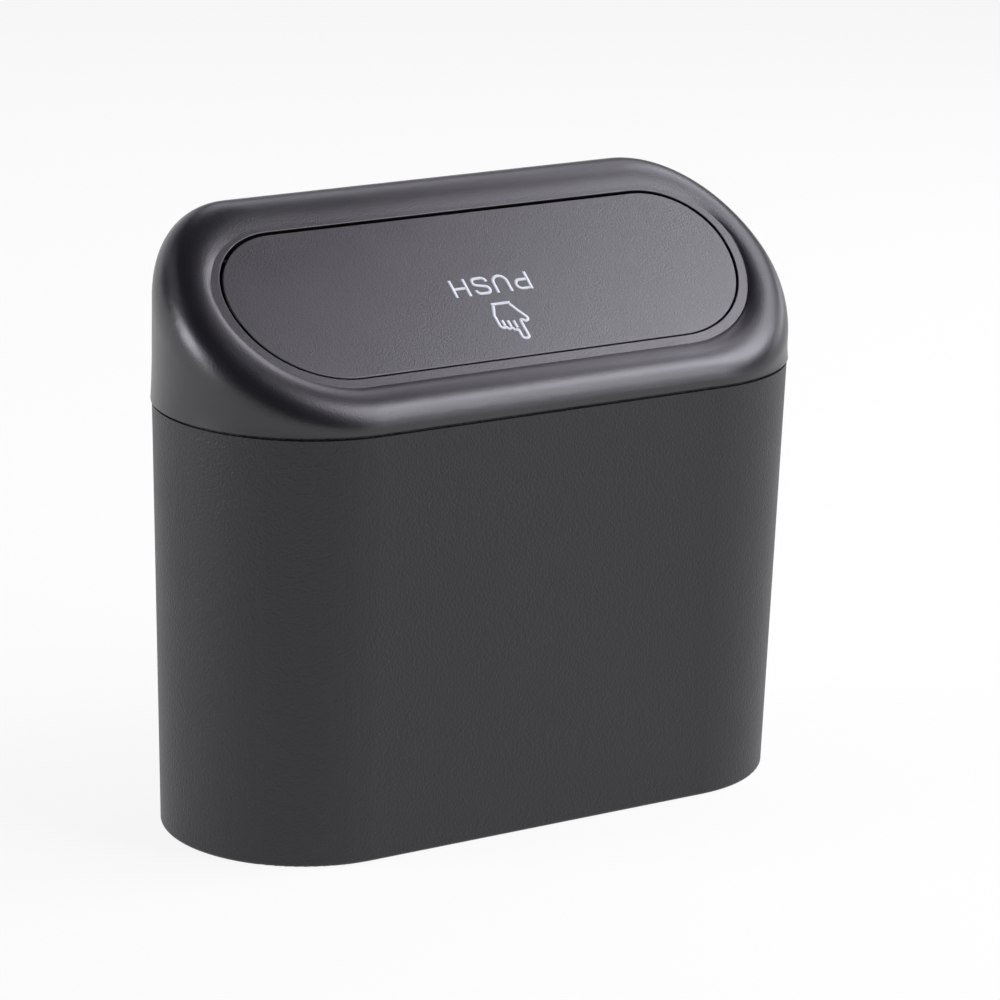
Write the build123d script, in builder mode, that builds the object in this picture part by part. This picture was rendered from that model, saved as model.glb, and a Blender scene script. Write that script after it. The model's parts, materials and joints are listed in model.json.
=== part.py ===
from build123d import *
from math import atan2, cos, hypot, radians, sin, tan

# Car trash bin: a tapered pocket-shaped body, a lift-off lid frame with a sloping top, and a flush
# flap that springs open about its high back edge when its low front edge is pressed.
# Millimetres. X runs along the length, -Y is the low front side, +Z is up.
# The origin is the middle of the underside.

# Body
bin_length = 200.0
bin_width = 86.0
body_height = 124.9
body_draft = 1.28
body_wall = 2.0
floor_thickness = 2.2
floor_radius = 1.2
rim_lip_width = 1.0
seam_height = 0.9

# Lid frame
lid_overhang = 0.05
end_flare = 0.45
end_flare_height = 9.0
lid_wall = 2.2
shelf_height = 2.2
front_wall_height = 0.6
back_roll_radius = 14.4
end_roll_lag = 1.26
corner_lag = 1.4
front_corner_swell = -2.8
back_corner_swell = 6.5
widest_shift = -0.012
rim_rise = 1.2
skirt_wall = 1.8
skirt_depth = 10.0
skirt_clearance = 0.3

# Flap and the opening around it
flap_slope = 38.0
flap_front_margin = 15.8
flap_back_margin = 28.6
flap_end_margin = 16.5
flap_front_rise = 12.75
flap_thickness = 1.8
flap_end_straight = 0.9
front_corner_share = 0.57
flap_edge_radius = 0.35
gap_front = 0.35
gap_end = 0.7
gap_back = 1.0
ledge_width = 3.1
ledge_back_width = 1.6
opening_edge_radius = 0.25

# Hinge pins in the edges of the flap and the lid frame, near the flap's back edge
hinge_inset = 7.0
hinge_depth = 1.0
pin_diameter = 1.0
pin_length = 15.0
pin_chamfer = 0.15
pin_running_clearance = 0.05
pin_seat_clearance = 0.02
pin_end_clearance = 0.3
ear_radius = 2.2
ear_width = 5.5
ear_end_wall = 1.0
lug_width = 4.0
lug_end_inset = 2.3

# Torsion springs on posts behind the opening
post_setback = 3.2
post_depth = 4.5
post_diameter = 2.0
post_length = 6.0
post_plate_thickness = 2.5
post_plate_radius = 2.4
post_spacing = 6.0
hinge_spring_wire = 0.6
hinge_spring_turns = 5
hinge_spring_pitch = 0.9
hinge_spring_clearance = 0.2
hinge_spring_short_leg = 4.0
hinge_spring_long_leg = 10.0
hinge_spring_splay = 5.0

# Press latch under the flap's front edge
press_angle = 1.5
bracket_thickness = 2.0
bracket_width = 27.0
bracket_depth = 23.0
bracket_setback = 0.2
bracket_root = 0.7
case_width = 14.0
case_depth = 12.8
case_wall = 1.9
case_top = 6.5
case_height = 20.0
case_floor = 2.0
case_ear_width = 6.0
case_ear_thickness = 3.0
case_ear_height = 9.0
plunger_clearance = 0.2
plunger_height = 7.0
strike_neck_width = 3.0
strike_head_width = 5.6
strike_head_height = 2.0
strike_thickness = 2.4
strike_length = 7.6
strike_clearance = 0.3
jaw_thickness = 1.1
jaw_depth = 5.0
jaw_barb = 0.9
jaw_clearance = 0.3
latch_spring_wire = 0.6
latch_spring_diameter = 5.6
latch_spring_turns = 5
latch_spring_end_gap = 0.1

# Screws that hold the latch case to its bracket
screw_diameter = 2.2
screw_head_diameter = 4.4
screw_head_height = 1.6
screw_slot_width = 0.7
screw_slot_depth = 0.6
screw_clearance = 0.2
screw_thread_clearance = 0.02

# Sizes that follow from the ones above
lid_length = bin_length + 2 * lid_overhang
lid_width = bin_width + 2 * lid_overhang
lid_bottom = body_height + seam_height
shelf_top = lid_bottom + shelf_height
inner_length = bin_length - 2 * body_wall
inner_width = bin_width - 2 * body_wall
skirt_length = inner_length - 2 * skirt_clearance
skirt_width = inner_width - 2 * skirt_clearance
slope = radians(flap_slope)
flap_length = bin_length - 2 * flap_end_margin
flap_width = (bin_width - flap_front_margin - flap_back_margin) / cos(slope)
flap_centre_y = (flap_front_margin - flap_back_margin) / 2
flap_centre_z = body_height + flap_front_rise + flap_width / 2 * sin(slope)
flap_front_corner = (flap_width - flap_end_straight) * front_corner_share
flap_back_corner = flap_width - flap_end_straight - flap_front_corner
opening_front = flap_width / 2 + gap_front
opening_back = flap_width / 2 + gap_back
opening_end = flap_length / 2 + gap_end
ledge_front = opening_front + ledge_width
ledge_back = opening_back + ledge_back_width
ledge_end = opening_end + ledge_width
ledge_front_corner = flap_front_corner + gap_end + ledge_width
ledge_back_corner = flap_back_corner + gap_end + ledge_width

# The flap's own plane: local X is the length, local Y climbs the slope, local Z points out of the flap
flap_plane = Plane(
    origin=(0, flap_centre_y, flap_centre_z),
    x_dir=(1, 0, 0),
    z_dir=(0, -sin(slope), cos(slope)),
)
climb = flap_plane.y_dir
hinge_climb = flap_width / 2 - hinge_inset


def section_plane(x, climb_at, depth):
    """A plane square to the length, with local X up the slope and local Y out of the flap."""
    return Plane(origin=flap_plane.from_local_coords((x, climb_at, -depth)), x_dir=climb, z_dir=(1, 0, 0))


def half_round():
    """The lower half of a boss about the hinge line, for the open sketch."""
    Circle(ear_radius)
    with Locations((0, ear_radius)):
        Rectangle(2 * ear_radius, 2 * ear_radius, mode=Mode.SUBTRACT)


def rounded_outline(length, front, back, front_corner, back_corner):
    """Outline on the slope that reaches down to front and up to back, for the open sketch."""
    with Locations((0, (back - front) / 2)):
        Rectangle(length, front + back)
    corners = [(0, front_corner), (-1, back_corner)]
    for group, radius in corners:
        fillet(vertices().group_by(Axis.Y)[group], radius)


# Side profile of the lid: the front rolls over an elliptical quarter whose crest stands rim_rise above
# the ledge, the back rolls over an arc that runs into the slope, the ends roll like the front, and the
# last ring of the roll is the ledge's own outline in the flap's plane
front_foot_z = lid_bottom + front_wall_height
back_centre_y = lid_width / 2 - back_roll_radius
back_centre_climb = sin(slope) * (back_centre_y - flap_centre_y) - back_roll_radius
back_centre_z = flap_centre_z + back_centre_climb / cos(slope)
end_reach = lid_length / 2 - ledge_end
straight_half = (lid_length - lid_width) / 2
ledge_share = ledge_front_corner / (ledge_front_corner + ledge_back_corner)
quarter = radians(90)


def roll_ring(turn, inset, rise):
    """Front point and back point of the ring at this share of the roll, and its half length."""
    front_angle = quarter * (1 - turn)
    back_angle = turn * (quarter + slope) - quarter
    end_angle = quarter * (1 - turn**end_roll_lag)
    crest = flap_plane.from_local_coords((0, -ledge_front - rim_rise, rise))
    front = (
        crest.Y - (crest.Y + lid_width / 2 - inset) * sin(front_angle),
        front_foot_z + (crest.Z - front_foot_z) * cos(front_angle),
    )
    back = (
        back_centre_y - (back_roll_radius - inset) * sin(back_angle),
        back_centre_z + (back_roll_radius - inset) * cos(back_angle),
    )
    if turn == 1:
        ledge_ends = [flap_plane.from_local_coords((0, y, -inset)) for y in (-ledge_front, ledge_back)]
        front, back = [(point.Y, point.Z) for point in ledge_ends]
    return front, back, ledge_end + (end_reach - inset) * sin(end_angle)


def ring_plane(turn, inset, rise):
    """The plane that a ring lies in, centred on it, with local Y from front to back."""
    front, back, _ = roll_ring(turn, inset, rise)
    tilt = atan2(back[1] - front[1], back[0] - front[0])
    middle = (0, (front[0] + back[0]) / 2, (front[1] + back[1]) / 2)
    return Plane(origin=middle, x_dir=(1, 0, 0), z_dir=(0, -sin(tilt), cos(tilt)))


def ring_outline(turn, inset, rise):
    """Two straight runs joined by elliptical quarters at each end, for the open sketch.
    The corners lag behind at first, so that the roll leaves the upright wall without a crease.
    Their swell is nothing at both ends of the roll and whole halfway through their change."""
    front, back, half_length = roll_ring(turn, inset, rise)
    width = hypot(back[0] - front[0], back[1] - front[1])
    share = turn**corner_lag
    swell = 4 * share * (1 - share)
    front_run = straight_half + share * (ledge_end - ledge_front_corner - straight_half)
    front_run += front_corner_swell * swell
    back_run = straight_half + share * (ledge_end - ledge_back_corner - straight_half)
    back_run += back_corner_swell * swell
    front_share = (1 - share) / 2 + share * ledge_share
    front_depth = width * (front_share + widest_shift * swell)
    back_depth = width - front_depth
    widest = front_depth - width / 2
    with BuildLine() as ring:
        Line((-front_run, -width / 2), (front_run, -width / 2))
        EllipticalCenterArc((front_run, widest), half_length - front_run, front_depth, 270)
        EllipticalCenterArc((back_run, widest), half_length - back_run, back_depth, 0)
        Line((back_run, width / 2), (-back_run, width / 2))
        EllipticalCenterArc((-back_run, widest), half_length - back_run, back_depth, 90)
        EllipticalCenterArc((-front_run, widest), half_length - front_run, front_depth, 180)
    make_face(ring.edges())


roll_turns = [0, 0.06, 0.16, 0.3, 0.5, 0.7, 0.88, 1]


def flare_plane(share):
    """A plane across the upright wall: level at the seam, and tilted up to the back at the flare's top."""
    low = front_wall_height / 2
    tilt = share * atan2(end_flare_height - low, lid_width / 2)
    middle = (0, 0, lid_bottom + share * low + lid_width / 2 * tan(tilt))
    return Plane(origin=middle, x_dir=(1, 0, 0), z_dir=(0, -sin(tilt), cos(tilt)))


def flare_outline(share):
    """The upright wall's outline in that plane, with both ends let out towards the seam."""
    depth = lid_width / 2 / flare_plane(share).z_dir.Z
    reach = lid_width / 2 + end_flare * (1 - share) ** 2
    with BuildLine() as ring:
        Line((-straight_half, -depth), (straight_half, -depth))
        EllipticalCenterArc((straight_half, 0), reach, depth, 270, arc_size=180)
        Line((straight_half, depth), (-straight_half, depth))
        EllipticalCenterArc((-straight_half, 0), reach, depth, 90, arc_size=180)
    make_face(ring.edges())


flare_shares = [0, 0.35, 0.7, 1]


# Body: one moulded shell with a raised lip inside its rim, which the lid frame sits on
with BuildPart() as bin_body:
    with BuildSketch(Plane.XY.offset(body_height)):
        SlotOverall(bin_length, bin_width)
    extrude(amount=-body_height, taper=body_draft)
    fillet(bin_body.faces().sort_by(Axis.Z)[0].edges(), floor_radius)
    with BuildSketch(Plane.XY.offset(body_height)):
        SlotOverall(inner_length + 2 * rim_lip_width, inner_width + 2 * rim_lip_width)
    extrude(amount=seam_height)
    with BuildSketch(Plane.XY.offset(body_height)):
        SlotOverall(inner_length, inner_width)
    extrude(amount=seam_height, mode=Mode.SUBTRACT)
    with BuildSketch(Plane.XY.offset(body_height)):
        SlotOverall(inner_length, inner_width)
    extrude(amount=floor_thickness - body_height, taper=body_draft, mode=Mode.SUBTRACT)
bin_body.part.label = "bin_body"
export_step(bin_body.part, "parts/bin_body.step")


# Hollow of the lid frame above its shelf
with BuildPart() as lid_hollow:
    with BuildSketch(Plane.XY.offset(lid_bottom)):
        SlotOverall(lid_length - 2 * lid_wall, lid_width - 2 * lid_wall)
    extrude(amount=back_centre_z)
    split(bisect_by=ring_plane(0, lid_wall, -lid_wall), keep=Keep.BOTTOM)
    for turn in roll_turns:
        with BuildSketch(ring_plane(turn, lid_wall, -lid_wall)):
            ring_outline(turn, lid_wall, -lid_wall)
    loft()
    split(bisect_by=Plane.XY.offset(shelf_top), keep=Keep.TOP)


# Lid frame: rolled rim, flat ledge around the opening, skirt, hinge lugs, spring posts, latch bracket
lug_x = ledge_end - lug_end_inset - lug_width
pin_tip_x = lug_x + lug_width
pin_root_x = pin_tip_x - pin_length
post_x = pin_root_x - post_spacing
post_climb = opening_back + post_setback
bracket_face = opening_front + bracket_setback
bracket_middle = -bracket_face - bracket_thickness / 2
latch_climb = case_depth / 2 - bracket_face
screw_x = case_width / 2 + case_ear_width / 2
screw_depth = case_top + case_height / 2
screw_plane = Plane(
    origin=flap_plane.from_local_coords((0, -bracket_face - bracket_thickness, -screw_depth)),
    x_dir=(1, 0, 0),
    z_dir=climb,
)
with BuildPart() as lid_frame:
    with BuildSketch(Plane.XY.offset(lid_bottom)):
        SlotOverall(lid_length, lid_width)
    extrude(amount=back_centre_z)
    split(bisect_by=ring_plane(0, 0, rim_rise), keep=Keep.BOTTOM)
    split(bisect_by=flare_plane(1), keep=Keep.TOP)
    for share in flare_shares:
        with BuildSketch(flare_plane(share)):
            flare_outline(share)
    loft()
    for turn in roll_turns:
        with BuildSketch(ring_plane(turn, 0, rim_rise)):
            ring_outline(turn, 0, rim_rise)
    loft()
    add(lid_hollow.part, mode=Mode.SUBTRACT)
    with BuildSketch(Plane.XY.offset(lid_bottom)):
        SlotOverall(skirt_length, skirt_width)
    extrude(amount=-skirt_depth, taper=body_draft)
    with BuildSketch(Plane.XY.offset(shelf_top)):
        SlotOverall(skirt_length - 2 * skirt_wall, skirt_width - 2 * skirt_wall)
    extrude(amount=-skirt_depth - shelf_height, taper=body_draft, mode=Mode.SUBTRACT)
    with BuildSketch(flap_plane):
        rounded_outline(
            2 * opening_end,
            opening_front,
            opening_back,
            flap_front_corner + gap_end,
            flap_back_corner + gap_end,
        )
    extrude(amount=2 * lid_wall, both=True, mode=Mode.SUBTRACT)
    ledge = lid_frame.faces().filter_by(flap_plane).sort_by(Axis((0, 0, 0), flap_plane.z_dir))[-1]
    fillet(ledge.inner_wires()[0].edges(), opening_edge_radius)
    for lug_start in (-pin_tip_x, lug_x):
        with BuildSketch(section_plane(lug_start, hinge_climb, hinge_depth)):
            half_round()
        extrude(amount=lug_width)
    for bore_start in (-pin_tip_x - pin_end_clearance, pin_root_x):
        with BuildSketch(section_plane(bore_start, hinge_climb, hinge_depth)):
            Circle(pin_diameter / 2 + pin_seat_clearance)
        extrude(amount=pin_length + pin_end_clearance, mode=Mode.SUBTRACT)
    for plate_start in (-post_x, post_x - post_plate_thickness):
        with BuildSketch(section_plane(plate_start, post_climb, post_depth)):
            Circle(post_plate_radius)
            with Locations((0, (post_depth - bracket_root) / 2)):
                Rectangle(2 * post_plate_radius, post_depth - bracket_root)
        extrude(amount=post_plate_thickness)
    for post_start in (post_plate_thickness - post_x, post_x - post_plate_thickness - post_length):
        with BuildSketch(section_plane(post_start, post_climb, post_depth)):
            Circle(post_diameter / 2)
        extrude(amount=post_length)
    with BuildSketch(flap_plane.offset(-bracket_root)):
        with Locations((0, bracket_middle)):
            Rectangle(bracket_width, bracket_thickness)
    extrude(amount=-bracket_depth)
    with BuildSketch(screw_plane):
        with Locations((-screw_x, 0), (screw_x, 0)):
            Circle(screw_diameter / 2 + screw_clearance)
    extrude(amount=bracket_thickness, mode=Mode.SUBTRACT)
lid_frame.part.label = "lid_frame"
export_step(lid_frame.part, "parts/lid_frame.step")


# Flap: a flat panel with two hinge ears and an arrow-headed strike for the latch
ear_x = pin_root_x - ear_end_wall
strike_bottom = flap_thickness + strike_length
with BuildPart() as flap_panel:
    with BuildSketch(flap_plane):
        rounded_outline(
            flap_length, flap_width / 2, flap_width / 2, flap_front_corner, flap_back_corner
        )
    extrude(amount=-flap_thickness)
    fillet(flap_panel.faces().sort_by(Axis((0, 0, 0), flap_plane.z_dir))[-1].edges(), flap_edge_radius)
    for ear_start in (-ear_x - ear_width, ear_x):
        with BuildSketch(section_plane(ear_start, hinge_climb, hinge_depth)):
            half_round()
        extrude(amount=ear_width)
    for bore_start in (-pin_tip_x, pin_root_x - pin_end_clearance):
        with BuildSketch(section_plane(bore_start, hinge_climb, hinge_depth)):
            Circle(pin_diameter / 2 + pin_running_clearance)
        extrude(amount=pin_length + pin_end_clearance, mode=Mode.SUBTRACT)
    with BuildSketch(flap_plane.offset(-flap_thickness / 2)):
        with Locations((0, latch_climb)):
            Rectangle(strike_neck_width, strike_thickness)
    extrude(amount=flap_thickness / 2 - strike_bottom)
    with BuildSketch(flap_plane.offset(strike_head_height - strike_bottom)):
        with Locations((0, latch_climb)):
            Rectangle(strike_head_width, strike_thickness)
    with BuildSketch(flap_plane.offset(-strike_bottom)):
        with Locations((0, latch_climb)):
            Rectangle(strike_neck_width, strike_thickness)
    loft()
flap_panel.part.label = "flap_panel"
export_step(flap_panel.part, "parts/flap_panel.step")


# Hinge pins, one at each end of the flap, pressed into the lid frame and running in the flap
pin_starts = {"left": -pin_tip_x, "right": pin_root_x}
for side, pin_start in pin_starts.items():
    with BuildPart() as hinge_pin:
        with BuildSketch(section_plane(pin_start, hinge_climb, hinge_depth)):
            Circle(pin_diameter / 2)
        extrude(amount=pin_length)
        chamfer(hinge_pin.edges().filter_by(GeomType.CIRCLE), pin_chamfer)
    hinge_pin.part.label = f"hinge_pin_{side}"
    export_step(hinge_pin.part, f"parts/hinge_pin_{side}.step")


# Torsion springs on the posts: the long leg lifts the flap and the short leg bears on the lid frame
coil_radius = post_diameter / 2 + hinge_spring_clearance + hinge_spring_wire / 2
coil_length = hinge_spring_pitch * (hinge_spring_turns - hinge_spring_splay / 360)
coil_start = post_plate_thickness - post_x + (post_length - coil_length) / 2
coil_plane = Plane(
    origin=flap_plane.from_local_coords((coil_start, post_climb, -post_depth)),
    x_dir=flap_plane.z_dir,
    z_dir=(1, 0, 0),
)
with BuildPart() as spring_form:
    with BuildLine() as coil:
        Helix(hinge_spring_pitch, coil_length, coil_radius)
    with BuildSketch(Plane(origin=coil.line @ 0, z_dir=coil.line % 0)):
        Circle(hinge_spring_wire / 2)
    sweep(is_frenet=True)
    for end, away, leg in ((0, -1, hinge_spring_short_leg), (1, 1, hinge_spring_long_leg)):
        with BuildSketch(Plane(origin=coil.line @ end, z_dir=(coil.line % end) * away)):
            Circle(hinge_spring_wire / 2)
        extrude(amount=leg)
with BuildPart() as hinge_spring_left:
    with Locations(coil_plane):
        add(spring_form.part)
hinge_spring_left.part.label = "hinge_spring_left"
export_step(hinge_spring_left.part, "parts/hinge_spring_left.step")

with BuildPart() as hinge_spring_right:
    mirror(hinge_spring_left.part, about=Plane.YZ)
hinge_spring_right.part.label = "hinge_spring_right"
export_step(hinge_spring_right.part, "parts/hinge_spring_right.step")


# Latch case: an open-topped box with two screw ears, fixed to the bracket
well_width = case_width - 2 * case_wall
well_depth = case_depth - 2 * case_wall
with BuildPart() as latch_case:
    with BuildSketch(flap_plane.offset(-case_top)):
        with Locations((0, latch_climb)):
            Rectangle(case_width, case_depth)
    extrude(amount=-case_height)
    with BuildSketch(flap_plane.offset(case_ear_height / 2 - screw_depth)):
        with Locations((0, case_ear_thickness / 2 - bracket_face)):
            Rectangle(case_width + 2 * case_ear_width, case_ear_thickness)
    extrude(amount=-case_ear_height)
    with BuildSketch(flap_plane.offset(-case_top)):
        with Locations((0, latch_climb)):
            Rectangle(well_width, well_depth)
    extrude(amount=case_floor - case_height, mode=Mode.SUBTRACT)
    with BuildSketch(screw_plane.offset(bracket_thickness)):
        with Locations((-screw_x, 0), (screw_x, 0)):
            Circle(screw_diameter / 2 + screw_thread_clearance)
    extrude(amount=case_ear_thickness, mode=Mode.SUBTRACT)
latch_case.part.label = "latch_case"
export_step(latch_case.part, "parts/latch_case.step")


# Latch plunger: a block that slides in the case; the flap's strike stops short of it until pressed
press_travel = (hinge_climb - latch_climb) * tan(radians(press_angle))
plunger_top = strike_bottom + press_travel + strike_clearance
with BuildPart() as latch_plunger:
    with BuildSketch(flap_plane.offset(-plunger_top)):
        with Locations((0, latch_climb)):
            Rectangle(well_width - 2 * plunger_clearance, well_depth - 2 * plunger_clearance)
    extrude(amount=-plunger_height)
latch_plunger.part.label = "latch_plunger"
export_step(latch_plunger.part, "parts/latch_plunger.step")


# Latch jaws: two sprung arms that stand on the plunger and hook over the strike's head
jaw_outer = well_width / 2 - plunger_clearance
barb_depth = strike_bottom - strike_head_height - jaw_clearance
jaw_top = barb_depth - jaw_thickness
jaw_plane = Plane(
    origin=flap_plane.from_local_coords((0, latch_climb - jaw_depth / 2, 0)),
    x_dir=(1, 0, 0),
    z_dir=-climb,
)
with BuildPart() as latch_jaws:
    with BuildSketch(jaw_plane):
        for hand in (-1, 1):
            with BuildLine():
                Polyline(
                    (hand * jaw_outer, -plunger_top),
                    (hand * jaw_outer, -jaw_top),
                    (hand * (strike_head_width / 2), -jaw_top),
                    (hand * (strike_head_width / 2 - jaw_barb), -barb_depth),
                    (hand * (jaw_outer - jaw_thickness), -barb_depth),
                    (hand * (jaw_outer - jaw_thickness), -plunger_top),
                    close=True,
                )
            make_face()
    extrude(amount=-jaw_depth)
latch_jaws.part.label = "latch_jaws"
export_step(latch_jaws.part, "parts/latch_jaws.step")


# Latch spring: a compression coil between the case floor and the plunger
spring_foot = case_top + case_height - case_floor
spring_space = spring_foot - plunger_top - plunger_height
spring_rise = spring_space - latch_spring_wire - 2 * latch_spring_end_gap
spring_start = flap_plane.from_local_coords(
    (0, latch_climb, latch_spring_wire / 2 + latch_spring_end_gap - spring_foot)
)
with BuildPart() as latch_spring:
    with BuildLine() as spring_path:
        Helix(
            spring_rise / latch_spring_turns,
            spring_rise,
            (latch_spring_diameter - latch_spring_wire) / 2,
            spring_start,
            flap_plane.z_dir,
        )
    with BuildSketch(Plane(origin=spring_path.line @ 0, z_dir=spring_path.line % 0)):
        Circle(latch_spring_wire / 2)
    sweep(is_frenet=True)
latch_spring.part.label = "latch_spring"
export_step(latch_spring.part, "parts/latch_spring.step")


# Two slotted pan-head screws through the bracket into the case ears
with BuildPart() as latch_screws:
    with BuildSketch(screw_plane):
        with Locations((-screw_x, 0), (screw_x, 0)):
            Circle(screw_head_diameter / 2)
    extrude(amount=-screw_head_height)
    with BuildSketch(screw_plane):
        with Locations((-screw_x, 0), (screw_x, 0)):
            Circle(screw_diameter / 2)
    extrude(amount=bracket_thickness + case_ear_thickness)
    with BuildSketch(screw_plane.offset(-screw_head_height)):
        with Locations((-screw_x, 0), (screw_x, 0)):
            Rectangle(2 * screw_head_diameter, screw_slot_width)
    extrude(amount=screw_slot_depth, mode=Mode.SUBTRACT)
latch_screws.part.label = "latch_screws"
export_step(latch_screws.part, "parts/latch_screws.step")
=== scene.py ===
# %% [markdown]
# A car trash bin with a press-open flap. The solids come from CAD and are the fixed frame of this
# scene: they are loaded once, never moved, and everything made below is placed by their own measures,
# in metres.

# %% Load the imported solids
import json
import math

import bmesh
import bpy
from mathutils import Matrix, Vector


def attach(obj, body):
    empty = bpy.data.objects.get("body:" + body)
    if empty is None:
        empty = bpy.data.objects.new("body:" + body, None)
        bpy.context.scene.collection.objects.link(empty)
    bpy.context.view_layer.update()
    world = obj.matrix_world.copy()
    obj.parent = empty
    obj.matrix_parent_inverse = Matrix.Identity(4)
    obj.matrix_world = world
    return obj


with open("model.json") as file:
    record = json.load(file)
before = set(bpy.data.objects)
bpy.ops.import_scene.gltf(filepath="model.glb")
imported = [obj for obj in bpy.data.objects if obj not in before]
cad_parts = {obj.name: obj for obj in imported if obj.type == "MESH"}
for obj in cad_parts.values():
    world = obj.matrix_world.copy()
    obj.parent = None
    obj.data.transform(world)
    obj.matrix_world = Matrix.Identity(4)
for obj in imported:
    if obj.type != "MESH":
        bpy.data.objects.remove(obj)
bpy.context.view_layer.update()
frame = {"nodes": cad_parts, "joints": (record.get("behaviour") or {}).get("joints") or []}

MM = 0.001
print("solids", sorted(frame["nodes"]))

# %% [markdown]
# The camera stands to the left of the front and a little above, at the picture's own viewing angle. A
# camera could be aimed with a Track To constraint, but a plain matrix of right, up and back vectors
# also holds the slight roll of a hand-held shot, and it stays where it is when the pieces change.

# %% Camera
VIEW_TURN, VIEW_HEIGHT, VIEW_ROLL = (math.radians(a) for a in (-32.8025, 16.2867, 1.4237))
CAMERA_PLACE = Vector((-0.667296, -1.049330, 0.451529))
LENS_MM, SENSOR_MM = 160.745, 36.0


def direction(turn, height):
    """Unit vector at a turn round the bin from its front and a height above level, both in radians."""
    return Vector(
        (math.sin(turn) * math.cos(height), -math.cos(turn) * math.cos(height), math.sin(height))
    )


back = direction(VIEW_TURN, VIEW_HEIGHT)
level_right = Vector((0, 0, 1)).cross(back).normalized()
level_up = back.cross(level_right)
right = level_right * math.cos(VIEW_ROLL) + level_up * math.sin(VIEW_ROLL)
up = level_up * math.cos(VIEW_ROLL) - level_right * math.sin(VIEW_ROLL)

camera = bpy.data.objects.new("camera", bpy.data.cameras.new("camera"))
bpy.context.scene.collection.objects.link(camera)
camera.data.sensor_width = SENSOR_MM
camera.data.lens = LENS_MM
camera.matrix_world = Matrix.Translation(CAMERA_PLACE) @ Matrix((right, up, back)).transposed().to_4x4()
bpy.context.scene.camera = camera

# %% [markdown]
# Every finish below is a small tree of shader nodes. Writing each node out takes a line for its kind, a
# line for every setting and a line for every link, so one helper does all three, and another turns the
# sRGB hex colours that a colour picker gives into the linear values that shaders work in.

# %% Helpers for finishes
def linear(hex_colour):
    """An sRGB hex colour as the linear RGBA that shader sockets take."""
    shares = [int(hex_colour[i : i + 2], 16) / 255 for i in (1, 3, 5)]
    return [s / 12.92 if s <= 0.04045 else ((s + 0.055) / 1.055) ** 2.4 for s in shares] + [1.0]


def add_node(tree, kind, settings=None, links=None):
    """Adds one node, sets its properties and sockets by name, and links outputs to its inputs."""
    node = tree.nodes.new(kind)
    for name, value in (settings or {}).items():
        if isinstance(name, str) and hasattr(node, name):
            setattr(node, name, value)
        else:
            node.inputs[name].default_value = value
    for name, output in (links or {}).items():
        tree.links.new(output, node.inputs[name])
    return node


def new_material(name):
    """An empty material with a node tree."""
    material = bpy.data.materials.new(name)
    material.use_nodes = True
    material.node_tree.nodes.clear()
    return material


def pattern_scale(feature_mm):
    """Texture scale, per metre, at which a pattern's features are about this many millimetres."""
    return 1 / (feature_mm * MM)


# The Mix node keeps sockets for every kind of data. These are its two colours and its mixed colour.
MIX_A, MIX_B, MIX_RESULT = 6, 7, 2


def drifting_shade(tree, drift, shades):
    """Colour that goes from the first shade to the second as the drift goes from 0 to 1."""
    settings = {"data_type": "RGBA", MIX_A: linear(shades[0]), MIX_B: linear(shades[1])}
    return add_node(tree, "ShaderNodeMix", settings, {0: drift}).outputs[MIX_RESULT]


print("black plastic in linear light", [round(c, 4) for c in linear("#1e1d21")])

# %% [markdown]
# Nearly everything here is moulded plastic. Such a surface copies the steel of its mould: a
# spark-eroded mould leaves a fine even grain, a blasted or polished one a satin skin. Painted noise
# would look flat when the bin turns, so the grain goes into a Bump node, where it breaks up the
# highlights. A wider noise varies the gloss a little, as flow and handling do, and shifts the colour by
# a shade along with it.

# %% Moulded plastics
def moulded_plastic(name, shades, roughness, grain_mm, depth_mm, ior):
    """Plastic with a moulded grain, two close shades and a low and a high roughness."""
    material = new_material(name)
    tree = material.node_tree
    place = add_node(tree, "ShaderNodeTexCoord").outputs["Object"]
    grain = add_node(
        tree,
        "ShaderNodeTexNoise",
        {"Scale": pattern_scale(grain_mm), "Detail": 1.0, "Roughness": 0.6},
        {"Vector": place},
    )
    flow = add_node(
        tree, "ShaderNodeTexNoise", {"Scale": pattern_scale(FLOW_MM), "Detail": 2.0}, {"Vector": place}
    )
    bump = add_node(
        tree,
        "ShaderNodeBump",
        {"Strength": 1.0, "Distance": depth_mm * MM},
        {"Height": grain.outputs["Fac"]},
    )
    shade = drifting_shade(tree, flow.outputs["Fac"], shades)
    gloss = add_node(
        tree,
        "ShaderNodeMapRange",
        {"From Min": NOISE_LOW, "From Max": NOISE_HIGH, "To Min": roughness[0], "To Max": roughness[1]},
        {"Value": flow.outputs["Fac"]},
    )
    plastic = add_node(
        tree,
        "ShaderNodeBsdfPrincipled",
        {"IOR": ior},
        {
            "Base Color": shade,
            "Roughness": gloss.outputs["Result"],
            "Normal": bump.outputs["Normal"],
        },
    )
    add_node(tree, "ShaderNodeOutputMaterial", None, {"Surface": plastic.outputs["BSDF"]})
    return material


FLOW_MM = 22.0
# Most values of the noise lie between these two, so they take the full range of the roughness.
NOISE_LOW, NOISE_HIGH = 0.3, 0.7

# Polypropylene from a spark-eroded mould: a dry, even black with a fine sandy grain that softens
# highlights. The real grain is about 0.3 mm; it is drawn at 0.75 mm, and deeper, so that it shows at
# this distance. The IOR starts from the resin's own 1.49, here and on the lid, and is raised until the
# sheen matches the real bin's.
body_finish = moulded_plastic(
    "polypropylene_black_spark_grain", ("#18171b", "#1c1b1f"), (0.46, 0.50), 0.75, 0.26, 1.52
)
# Polypropylene from a finely blasted mould: a satin black skin, so the rolled rim shows long soft
# highlights. The real grain is under 0.1 mm; it is drawn at 0.5 mm so that it shows, here and on the
# latch.
lid_finish = moulded_plastic(
    "polypropylene_black_satin", ("#1b1a1e", "#1e1d21"), (0.31, 0.34), 0.5, 0.04, 1.61
)
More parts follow.
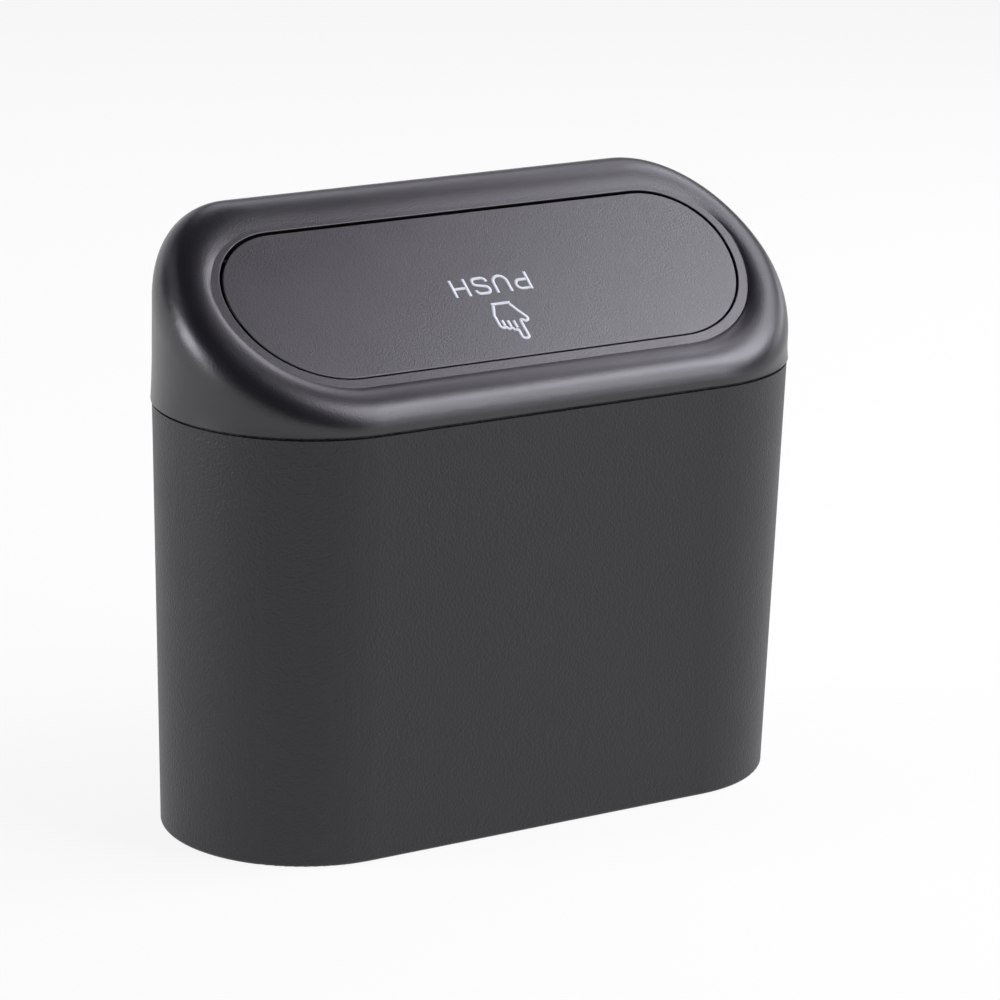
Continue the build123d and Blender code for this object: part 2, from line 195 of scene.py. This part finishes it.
# ABS with a plain moulded skin: a shade greyer than the outer pieces, and about as shiny as the lid.
latch_finish = moulded_plastic("abs_black_moulded", ("#242528", "#292a2d"), (0.30, 0.36), 0.5, 0.01, 1.53)
# Natural acetal: milky white and waxy, as latch blocks that must slide without grease are.
acetal_finish = moulded_plastic(
    "acetal_natural_moulded", ("#dedcd2", "#e6e4dc"), (0.34, 0.40), 0.5, 0.01, 1.48
)
print("plastics", [m.name for m in (body_finish, lid_finish, latch_finish, acetal_finish)])

# %% [markdown]
# The small hidden parts are steel. Wire and pins are pulled through a die, which leaves fine lines
# along them, and zinc-plated screws have a cloudy crystalline skin. A metal's colour is its reflection,
# so each one keeps the shader's own IOR and only its tint, its roughness and its fine relief are given.

# %% Steels
def steel(name, tint, roughness, streak_mm, stretch):
    """Metal whose roughness and relief follow a noise that is stretched along X."""
    material = new_material(name)
    tree = material.node_tree
    place = add_node(tree, "ShaderNodeTexCoord").outputs["Object"]
    along = add_node(tree, "ShaderNodeMapping", {"Scale": (1 / stretch, 1, 1)}, {"Vector": place})
    streaks = add_node(
        tree,
        "ShaderNodeTexNoise",
        {"Scale": pattern_scale(streak_mm), "Detail": 2.0},
        {"Vector": along.outputs["Vector"]},
    )
    gloss = add_node(
        tree,
        "ShaderNodeMapRange",
        {"To Min": roughness[0], "To Max": roughness[1]},
        {"Value": streaks.outputs["Fac"]},
    )
    bump = add_node(
        tree,
        "ShaderNodeBump",
        {"Strength": RELIEF_STRENGTH, "Distance": streak_mm * RELIEF_SHARE * MM},
        {"Height": streaks.outputs["Fac"]},
    )
    metal = add_node(
        tree,
        "ShaderNodeBsdfPrincipled",
        {"Base Color": linear(tint), "Metallic": 1.0},
        {"Roughness": gloss.outputs["Result"], "Normal": bump.outputs["Normal"]},
    )
    add_node(tree, "ShaderNodeOutputMaterial", None, {"Surface": metal.outputs["BSDF"]})
    return material


# Streaks are drawn wider than the real lines, which are too fine to show even close up. Their relief is
# this share of their width, which leaves only a fine shimmer.
RELIEF_SHARE, RELIEF_STRENGTH = 0.12, 0.2
# Drawn steel with a black oxide skin: dark and oily, with a dull sheen.
pin_finish = steel("steel_drawn_black_oxide", "#1a1b1d", (0.50, 0.62), 0.15, 12)
# Drawn spring wire: grey and bright, with drawing lines along the wire.
spring_finish = steel("spring_steel_drawn", "#8d9094", (0.22, 0.38), 0.15, 4)
# Zinc plate: pale blue-grey with a cloudy grain.
screw_finish = steel("steel_zinc_plated", "#b4b8bd", (0.28, 0.45), 0.4, 1)
print("steels", [m.name for m in (pin_finish, spring_finish, screw_finish)])

# %% [markdown]
# The CAD solids have the right shape, so they stay as they are and only take their finish. The material
# that came with each mesh is taken off, and the finish goes in its place.

# %% Dress the solids
FINISHES = {
    "bin_body": body_finish,
    "lid_frame": lid_finish,
    "flap_panel": lid_finish,
    "hinge_pin_left": pin_finish,
    "hinge_pin_right": pin_finish,
    "hinge_spring_left": spring_finish,
    "hinge_spring_right": spring_finish,
    "latch_case": latch_finish,
    "latch_plunger": acetal_finish,
    "latch_jaws": acetal_finish,
    "latch_spring": spring_finish,
    "latch_screws": screw_finish,
}
for node_name, finish in FINISHES.items():
    mesh = frame["nodes"][node_name].data
    mesh.materials.clear()
    mesh.materials.append(finish)
print("dressed", len(FINISHES), "solids")

# %% [markdown]
# The flap has one word and a pointing hand on it, pad printed in white so that they are read from the
# hinge side. A font object could set the word, but the hand would still have to be drawn. So both are
# drawn the same way, as a few lines on the flat, in millimetres from the middle of the flap, with x to
# the right and y up as it is read.

# %% Lines of the print
STROKE_MM = 0.95
HALF_STROKE = STROKE_MM / 2
FOOT, HEAD = -2.8, 3.5
P_STEM, P_BOWL = -12.3, -7.9
U_LEFT, U_RIGHT = -5.5, -0.95
S_LEFT, S_RIGHT = 1.25, 5.85
H_LEFT, H_RIGHT = 8.4, 12.9
LETTER_LINES = [
    [(P_STEM, FOOT), (P_STEM, HEAD)],
    [(P_STEM + HALF_STROKE, 3.0), (P_BOWL, 3.0), (P_BOWL, -0.2), (P_STEM + HALF_STROKE, -0.2)],
    [(U_LEFT, HEAD), (U_LEFT, -2.4), (U_RIGHT, -2.4), (U_RIGHT, HEAD)],
    [(S_RIGHT, 1.7), (S_RIGHT, 3.1), (S_LEFT, 3.1), (S_LEFT, 0.9)]
    + [(S_RIGHT, -0.2), (S_RIGHT, -2.4), (S_LEFT, -2.4), (S_LEFT, -1.0)],
    [(H_LEFT, FOOT), (H_LEFT, HEAD)],
    [(H_RIGHT, FOOT), (H_RIGHT, HEAD)],
    [(H_LEFT + HALF_STROKE, 0.5), (H_RIGHT - HALF_STROKE, 0.5)],
]
CUFF, WRIST_LEFT, WRIST_RIGHT = 7.3, -2.4, 3.0
HAND_LINES = [
    [(WRIST_LEFT - HALF_STROKE, CUFF), (WRIST_RIGHT + HALF_STROKE, CUFF)],
    [(WRIST_RIGHT, CUFF + HALF_STROKE), (4.3, 11.2), (4.2, 15.3), (3.3, 16.1), (2.6, 15.6), (1.7, 16.7)]
    + [(0.8, 16.1), (-0.1, 17.3), (-1.0, 16.8), (-1.1, 20.4), (-3.3, 20.4), (-3.1, 11.7), (-4.5, 14.6)]
    + [(-6.2, 13.8), (-3.9, 10.4), (WRIST_LEFT, CUFF + HALF_STROKE)],
    [(2.6, 15.3), (2.7, 13.2)],
    [(0.8, 15.8), (0.9, 13.5)],
    [(-1.0, 16.4), (-0.9, 13.8)],
]
print("print lines", len(LETTER_LINES), "in the word and", len(HAND_LINES), "in the hand")

# %% [markdown]
# Every line of the print is the same thing: a path with round corners and a flat strip of ink along it.
# That is a rule, so a Geometry Nodes tree makes it. Fillet Curve rounds the corners, a rectangle is
# swept along the path, and the stroke's width, the ink's thickness and the corner radius are inputs of
# the tree.

# %% Stroke tree
def stroke_tree():
    """Geometry Nodes group that sweeps a flat strip of ink along each line."""
    tree = bpy.data.node_groups.new("printed_strokes", "GeometryNodeTree")
    inputs = {"Lines": "NodeSocketGeometry", "Ink": "NodeSocketMaterial"}
    for name in ("Stroke Width", "Ink Thickness", "Corner Radius"):
        inputs[name] = "NodeSocketFloat"
    for name, kind in inputs.items():
        tree.interface.new_socket(name, in_out="INPUT", socket_type=kind)
    tree.interface.new_socket("Print", in_out="OUTPUT", socket_type="NodeSocketGeometry")
    given = add_node(tree, "NodeGroupInput").outputs
    rounded = add_node(
        tree,
        "GeometryNodeFilletCurve",
        {"mode": "POLY", "Count": CORNER_STEPS, "Limit Radius": True},
        {"Curve": given["Lines"], "Radius": given["Corner Radius"]},
    )
    flat = add_node(
        tree, "GeometryNodeSetCurveNormal", {"mode": "Z_UP"}, {"Curve": rounded.outputs["Curve"]}
    )
    section = add_node(
        tree,
        "GeometryNodeCurvePrimitiveQuadrilateral",
        None,
        {"Width": given["Stroke Width"], "Height": given["Ink Thickness"]},
    )
    strip = add_node(
        tree,
        "GeometryNodeCurveToMesh",
        {"Fill Caps": True},
        {"Curve": flat.outputs["Curve"], "Profile Curve": section.outputs["Curve"]},
    )
    real = add_node(tree, "GeometryNodeRealizeInstances", None, {"Geometry": strip.outputs["Mesh"]})
    inked = add_node(
        tree,
        "GeometryNodeSetMaterial",
        None,
        {"Geometry": real.outputs["Geometry"], "Material": given["Ink"]},
    )
    add_node(tree, "NodeGroupOutput", None, {"Print": inked.outputs["Geometry"]})
    return tree


CORNER_STEPS = 8
strokes = stroke_tree()
print("stroke tree", len(strokes.nodes), "nodes")

# %% [markdown]
# Pad-print ink is a thin, opaque, slightly chalky film that follows the skin of the plastic. It needs
# no relief of its own at this size, only a white that is not quite even, because the pad lays the ink a
# little thicker and thinner from place to place.

# %% Ink
def pad_ink(name, shades, roughness, patch_mm):
    """Opaque printing ink whose white drifts softly between two shades."""
    material = new_material(name)
    tree = material.node_tree
    place = add_node(tree, "ShaderNodeTexCoord").outputs["Object"]
    patches = add_node(
        tree, "ShaderNodeTexNoise", {"Scale": pattern_scale(patch_mm), "Detail": 2.0}, {"Vector": place}
    )
    shade = drifting_shade(tree, patches.outputs["Fac"], shades)
    ink = add_node(
        tree,
        "ShaderNodeBsdfPrincipled",
        {"Roughness": roughness, "IOR": 1.5},
        {"Base Color": shade},
    )
    add_node(tree, "ShaderNodeOutputMaterial", None, {"Surface": ink.outputs["BSDF"]})
    return material


ink_finish = pad_ink("pad_print_ink_white", ("#d3d9de", "#dfe5e9"), 0.55, 1.5)
print("ink", ink_finish.name)

# %% [markdown]
# The flap's plane comes from the frame: the latch pushes square to it, and the hinge lies along it. The
# lines are made on the flat, turned into a mesh, and then laid on the flap by one matrix, turned half
# round so that the word stands on its head when seen from the low front side. The ink is let into the
# plastic by a hair, so that no gap shows under it, and it rides with the flap.

# %% Print on the flap
INK_MM, INK_SUNK_MM = 0.05, 0.01
LETTER_CORNER_MM, HAND_CORNER_MM = 2.2, 0.9


def printed_mesh(name, lines, corner_mm):
    """Mesh of the strokes along these lines, lying flat at the origin."""
    curve = bpy.data.curves.new(name, "CURVE")
    curve.dimensions = "3D"
    for line in lines:
        spline = curve.splines.new("POLY")
        spline.points.add(len(line) - 1)
        for point, (x, y) in zip(spline.points, line):
            point.co = (x * MM, y * MM, 0.0, 1.0)
    drawing = bpy.data.objects.new(name, curve)
    bpy.context.scene.collection.objects.link(drawing)
    modifier = drawing.modifiers.new("strokes", "NODES")
    modifier.node_group = strokes
    sizes = {
        "Ink": ink_finish,
        "Stroke Width": STROKE_MM * MM,
        "Ink Thickness": INK_MM * MM,
        "Corner Radius": corner_mm * MM,
    }
    for socket in strokes.interface.items_tree:
        if socket.name in sizes:
            modifier[socket.identifier] = sizes[socket.name]
    graph = bpy.context.evaluated_depsgraph_get()
    mesh = bpy.data.meshes.new_from_object(drawing.evaluated_get(graph), depsgraph=graph)
    bpy.data.objects.remove(drawing)
    return mesh


joints = {joint["name"]: joint for joint in frame["joints"]}
hinge_place = Vector(joints["flap_hinge"]["pos_m"])
outward = -Vector(joints["latch_press"]["axis"]).normalized()
uphill = outward.cross(Vector((1, 0, 0)))
from_hinge = [vertex.co - hinge_place for vertex in frame["nodes"]["flap_panel"].data.vertices]
climbs = [offset.dot(uphill) for offset in from_hinge]
middle = (min(climbs) + max(climbs)) / 2
rise = max(offset.dot(outward) for offset in from_hinge) + (INK_MM / 2 - INK_SUNK_MM) * MM
turned = Matrix((Vector((-1, 0, 0)), -uphill, outward)).transposed().to_4x4()
on_flap = Matrix.Translation(hinge_place + uphill * middle + outward * rise) @ turned

joined = bmesh.new()
for name, lines, corner_mm in (
    ("word_lines", LETTER_LINES, LETTER_CORNER_MM),
    ("hand_lines", HAND_LINES, HAND_CORNER_MM),
):
    joined.from_mesh(printed_mesh(name, lines, corner_mm))
joined.transform(on_flap)
bmesh.ops.recalc_face_normals(joined, faces=joined.faces)
print_mesh = bpy.data.meshes.new("push_print")
joined.to_mesh(print_mesh)
joined.free()
print_mesh.materials.append(ink_finish)
push_print = bpy.data.objects.new("push_print", print_mesh)
bpy.context.scene.collection.objects.link(push_print)
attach(push_print, "flap")
print("print", len(print_mesh.polygons), "faces,", round(middle / MM, 2), "mm from the hinge line")

# %% [markdown]
# The bin stands on a plain pale floor with a low wall far round it, which fills the picture when the
# camera stands low. For the camera, part of the floor's tone is its own white, so that the background
# stays white while the soft shadow under the bin still shows. Rays from mirrors and through glass see
# the same white.

# %% Floor
FLOOR_RADIUS, WALL_HEIGHT, WALL_SIDES = 4.0, 0.8, 64
FLOOR_WHITE_SHARE = 0.88
turns = [math.tau * i / WALL_SIDES for i in range(WALL_SIDES)]
floor_points = [
    (FLOOR_RADIUS * math.cos(turn), FLOOR_RADIUS * math.sin(turn), z)
    for z in (0.0, WALL_HEIGHT)
    for turn in turns
]
floor_faces = [tuple(range(WALL_SIDES))]
for i in range(WALL_SIDES):
    j = (i + 1) % WALL_SIDES
    floor_faces.append((i, j, j + WALL_SIDES, i + WALL_SIDES))
floor_mesh = bpy.data.meshes.new("floor")
floor_mesh.from_pydata(floor_points, [], floor_faces)
floor = bpy.data.objects.new("floor", floor_mesh)
bpy.context.scene.collection.objects.link(floor)


def seen_directly(tree):
    """1 for rays from the camera, from mirrors and through glass, 0 for the rays that light things."""
    path = add_node(tree, "ShaderNodeLightPath")
    seen = path.outputs["Is Camera Ray"]
    for name in ("Is Glossy Ray", "Is Transmission Ray"):
        seen = add_node(
            tree, "ShaderNodeMath", {"operation": "MAXIMUM"}, {0: seen, 1: path.outputs[name]}
        ).outputs[0]
    return seen


floor_paint = new_material("studio_floor_white_matt")
tree = floor_paint.node_tree
matt = add_node(tree, "ShaderNodeBsdfDiffuse", {"Color": linear("#f4f4f4")})
white = add_node(tree, "ShaderNodeEmission", {"Color": linear("#ffffff"), "Strength": 1.0})
share = add_node(
    tree, "ShaderNodeMath", {"operation": "MULTIPLY", 1: FLOOR_WHITE_SHARE}, {0: seen_directly(tree)}
)
mixed = add_node(
    tree,
    "ShaderNodeMixShader",
    None,
    {0: share.outputs[0], 1: matt.outputs["BSDF"], 2: white.outputs["Emission"]},
)
add_node(tree, "ShaderNodeOutputMaterial", None, {"Surface": mixed.outputs["Shader"]})
floor_mesh.materials.append(floor_paint)
print("floor", 2 * FLOOR_RADIUS, "m wide, with", WALL_SIDES, "sides of wall")

# %% [markdown]
# A black object is drawn by what it reflects, so the light is a set of soft panels on stands and not
# one lamp. Each panel is an area light: its size sets how soft the highlight's edge is, and its place
# sets which side of the rolled rim it runs along. A wide bank at the front right lights the sloping
# flap and the front of the rim, a panel low on the left draws the streak on the left end, two low ones
# light the upright walls, and three weak ones keep the left and the back from going black. Places are a
# turn round the bin from its front, a height in degrees and a distance, as stands are set up.

# %% Light
# Turn and height of the stand in degrees, width and height of the panel in metres, power in watts.
SOFTBOXES = {
    "key_front": (36, 36, 0.50, 0.70, 6.4),
    "key_side": (73, 43, 0.50, 0.70, 9.1),
    "key_high": (40, 58, 0.52, 0.38, 3.4),
    "key_far": (112, 40, 0.46, 0.50, 2.6),
    "side_low": (98, 13, 0.55, 0.30, 1.5),
    "front_low": (34, 12, 0.55, 0.28, 1.2),
    "left_streak": (253, 18, 0.48, 0.50, 7.9),
    "left_high": (225, 43, 0.80, 0.50, 0.7),
    "back_fill": (142, 36, 0.80, 0.50, 2.0),
    "back_low": (184, 20, 0.90, 0.60, 1.3),
}
STAND_DISTANCE = 1.3
LIGHT_AIM = Vector((0, 0, 0.13))
LAMP_TINT = "#f7f4ff"


def softbox(name, turn, height, wide, tall, power):
    """A rectangular area light on a stand that faces the bin."""
    lamp = bpy.data.lights.new(name, "AREA")
    lamp.shape = "RECTANGLE"
    lamp.size, lamp.size_y = wide, tall
    lamp.energy = power
    lamp.color = linear(LAMP_TINT)[:3]
    panel = bpy.data.objects.new(name, lamp)
    bpy.context.scene.collection.objects.link(panel)
    outwards = direction(math.radians(turn), math.radians(height))
    panel.location = LIGHT_AIM + outwards * STAND_DISTANCE
    panel.rotation_euler = outwards.to_track_quat("Z", "Y").to_euler()
    return panel


for panel_name, setting in SOFTBOXES.items():
    softbox(panel_name, *setting)

# The room beyond the wall is dark: the panels give the light, and reflections show them, the floor and
# the wall.
world = bpy.data.worlds.new("dark_room")
bpy.context.scene.world = world
world.use_nodes = True
tree = world.node_tree
tree.nodes.clear()
room = add_node(tree, "ShaderNodeBackground", {"Strength": 0.0})
add_node(tree, "ShaderNodeOutputWorld", None, {"Surface": room.outputs["Background"]})
bpy.context.scene.view_settings.view_transform = "Standard"
print("softboxes", list(SOFTBOXES))
